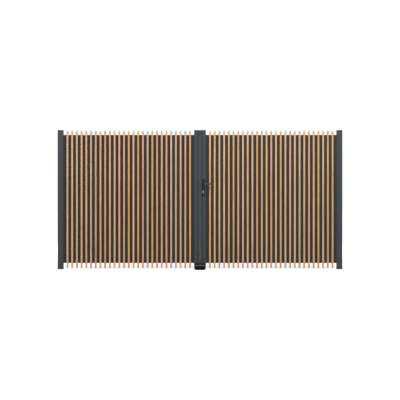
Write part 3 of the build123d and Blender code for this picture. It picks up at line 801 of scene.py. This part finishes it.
# Studio
# A white floor and a white world. What the camera, gloss and glass see of them is brighter
# than what lights the gate, and the floor's own glow is lower near it, so its shadow shows.
FLOOR_REACH = 60.0
FLOOR_BOUNCE = 0.45
FLOOR_SEEN = 0.80
FLOOR_GLOW_NEAR = 0.50
FLOOR_GLOW_FAR = 0.84
FLOOR_NEAR_RADIUS = 2.4
FLOOR_FAR_RADIUS = 6.5
WORLD_LIGHT = 0.35
gate_middle = (cad_box[0] + cad_box[1]) / 2


def seen_ray(tree):
    """One for rays from the camera, off gloss and through glass, and else nought."""
    path = add_node(tree, "ShaderNodeLightPath")
    first = add_node(tree, "ShaderNodeMath", operation="MAXIMUM")
    second = add_node(tree, "ShaderNodeMath", operation="MAXIMUM")
    tree.links.new(path.outputs["Is Camera Ray"], first.inputs[0])
    tree.links.new(path.outputs["Is Glossy Ray"], first.inputs[1])
    tree.links.new(first.outputs[0], second.inputs[0])
    tree.links.new(path.outputs["Is Transmission Ray"], second.inputs[1])
    return second.outputs[0]


floor_material = bpy.data.materials.new("white_floor")
floor_material.use_nodes = True
tree = floor_material.node_tree
tree.nodes.clear()
matt = add_node(tree, "ShaderNodeBsdfDiffuse")
matt_level = add_node(tree, "ShaderNodeMapRange", {"To Min": FLOOR_BOUNCE, "To Max": FLOOR_SEEN})
glow = add_node(tree, "ShaderNodeEmission", {"Color": (1, 1, 1, 1)})
glow_level = add_node(tree, "ShaderNodeMath", operation="MULTIPLY")
floor_sum = add_node(tree, "ShaderNodeAddShader")
floor_out = add_node(tree, "ShaderNodeOutputMaterial")
floor_seen = seen_ray(tree)
tree.links.new(floor_seen, matt_level.inputs["Value"])
tree.links.new(matt_level.outputs["Result"], matt.inputs["Color"])
tree.links.new(floor_seen, glow_level.inputs[0])
floor_place = add_node(tree, "ShaderNodeTexCoord").outputs["Object"]
away = add_node(tree, "ShaderNodeVectorMath", {1: (gate_middle.x, 0, 0)}, operation="DISTANCE")
reach = add_node(tree, "ShaderNodeMapRange", {
    "From Min": FLOOR_NEAR_RADIUS, "From Max": FLOOR_FAR_RADIUS,
    "To Min": FLOOR_GLOW_NEAR, "To Max": FLOOR_GLOW_FAR})
tree.links.new(floor_place, away.inputs[0])
tree.links.new(away.outputs["Value"], reach.inputs["Value"])
tree.links.new(reach.outputs["Result"], glow_level.inputs[1])
tree.links.new(glow_level.outputs[0], glow.inputs["Strength"])
tree.links.new(matt.outputs[0], floor_sum.inputs[0])
tree.links.new(glow.outputs[0], floor_sum.inputs[1])
tree.links.new(floor_sum.outputs[0], floor_out.inputs["Surface"])
floor_mesh = bpy.data.meshes.new("floor")
floor_mesh.from_pydata([(gate_middle.x + sx * FLOOR_REACH, sy * FLOOR_REACH, 0)
                        for sx, sy in ((-1, -1), (1, -1), (1, 1), (-1, 1))], [], [(0, 1, 2, 3)])
floor_mesh.materials.append(floor_material)
floor = bpy.data.objects.new("floor", floor_mesh)
bpy.context.scene.collection.objects.link(floor)

world = bpy.data.worlds.new("white_studio")
bpy.context.scene.world = world
world.use_nodes = True
tree = world.node_tree
background = tree.nodes["Background"]
background.inputs["Color"].default_value = (1, 1, 1, 1)
level = add_node(tree, "ShaderNodeMapRange", {"To Min": WORLD_LIGHT, "To Max": 1.0})
tree.links.new(seen_ray(tree), level.inputs["Value"])
tree.links.new(level.outputs["Result"], background.inputs["Strength"])

# Lamps
# A broad softbox high in front on the right, a smaller fill in front on the left,
# and one behind for the gate's back.
KEY = {"place": (1.8, -3.6, 5.4), "toward": (0.5, 0, 1.3), "size": 4.0, "watts": 252}
FILL = {"place": (-4.2, -3.4, 4.6), "toward": (-1.4, 0, 1.7), "size": 3.0, "watts": 115}
BACK = {"place": (-1.0, 6.0, 5.0), "toward": (0, 0, 1.0), "size": 4.5, "watts": 240}


def from_middle(offset):
    """A point given from the middle of the gate, on the ground."""
    return Vector((gate_middle.x + offset[0], offset[1], offset[2]))


for name, softbox in (("key", KEY), ("fill", FILL), ("back", BACK)):
    lamp = bpy.data.lights.new(name, "AREA")
    lamp.shape = "SQUARE"
    lamp.size = softbox["size"]
    lamp.energy = softbox["watts"]
    holder = bpy.data.objects.new(name, lamp)
    holder.location = from_middle(softbox["place"])
    aim = from_middle(softbox["toward"]) - holder.location
    holder.rotation_euler = aim.to_track_quat("-Z", "Y").to_euler()
    bpy.context.scene.collection.objects.link(holder)

# Camera
# Level and square on to the gate. Its distance, height and view width are the photograph's,
# worked out from how the gate lies in it.
CAMERA_DISTANCE = 13.0
CAMERA_HEIGHT = 0.886
VIEW_WIDTH_AT_GATE = 5.112
VIEW_REACH = 200.0
SENSOR_WIDTH = 36.0
front_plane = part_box("left_post")[0].y

view_data = bpy.data.cameras.new("view")
view_data.sensor_width = SENSOR_WIDTH
view_data.lens = SENSOR_WIDTH * CAMERA_DISTANCE / VIEW_WIDTH_AT_GATE
view_data.clip_end = VIEW_REACH
camera = bpy.data.objects.new("view", view_data)
camera.location = (gate_middle.x, front_plane - CAMERA_DISTANCE, CAMERA_HEIGHT)
camera.rotation_euler = (math.pi / 2, 0, 0)
bpy.context.scene.collection.objects.link(camera)
bpy.context.scene.camera = camera
bpy.context.scene.view_settings.view_transform = "Standard"
